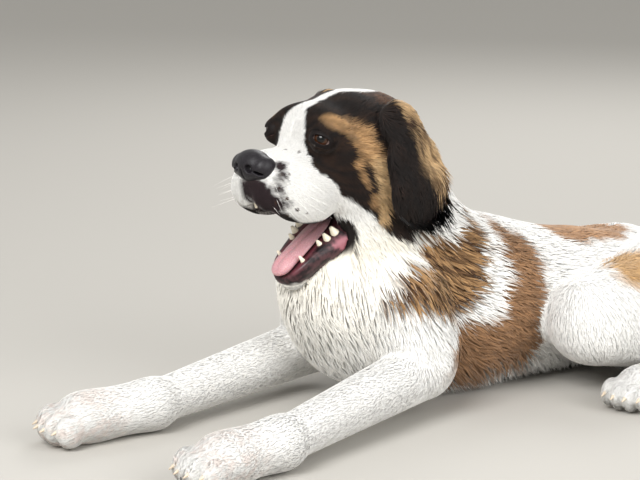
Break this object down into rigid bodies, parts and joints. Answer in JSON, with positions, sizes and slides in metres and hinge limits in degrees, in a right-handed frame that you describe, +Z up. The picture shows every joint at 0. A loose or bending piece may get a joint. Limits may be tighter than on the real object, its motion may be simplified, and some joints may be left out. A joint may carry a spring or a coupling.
{
  "type": "saint bernard",
  "caption": "Life-size still model of a saint bernard puppy lying down with head up, mouth open and forelegs stretched forward.",
  "frame": {"origin": "middle of the bounding box at floor level, under the lying dog", "axes": "-Y is the way the dog faces, +Y runs towards the tail, +X is the dog's left side, +Z is up"},
  "size_m": [0.382, 0.9096, 0.3036],
  "materials": {
    "coat": "creamy white fur",
    "coat_dark": "black-brown fur",
    "lips": "damp black skin",
    "nose": "damp pebbled black skin",
    "eye": "wet dark brown",
    "tongue": "wet pink"
  },
  "bodies": {
    "root": {"head": "coat", "lower_jaw": "lips", "nose": "nose", "eye_left": "eye", "eye_right": "eye", "tongue": "tongue", "ear_left": "coat_dark", "ear_right": "coat_dark", "neck": "coat", "torso": "coat", "foreleg_left": "coat", "foreleg_right": "coat", "forepaw_left": "coat", "forepaw_right": "coat", "hindleg_left": "coat", "hindleg_right": "coat", "hindpaw_left": "coat", "hindpaw_right": "coat", "tail": "coat"}
  },
  "joints": []
}
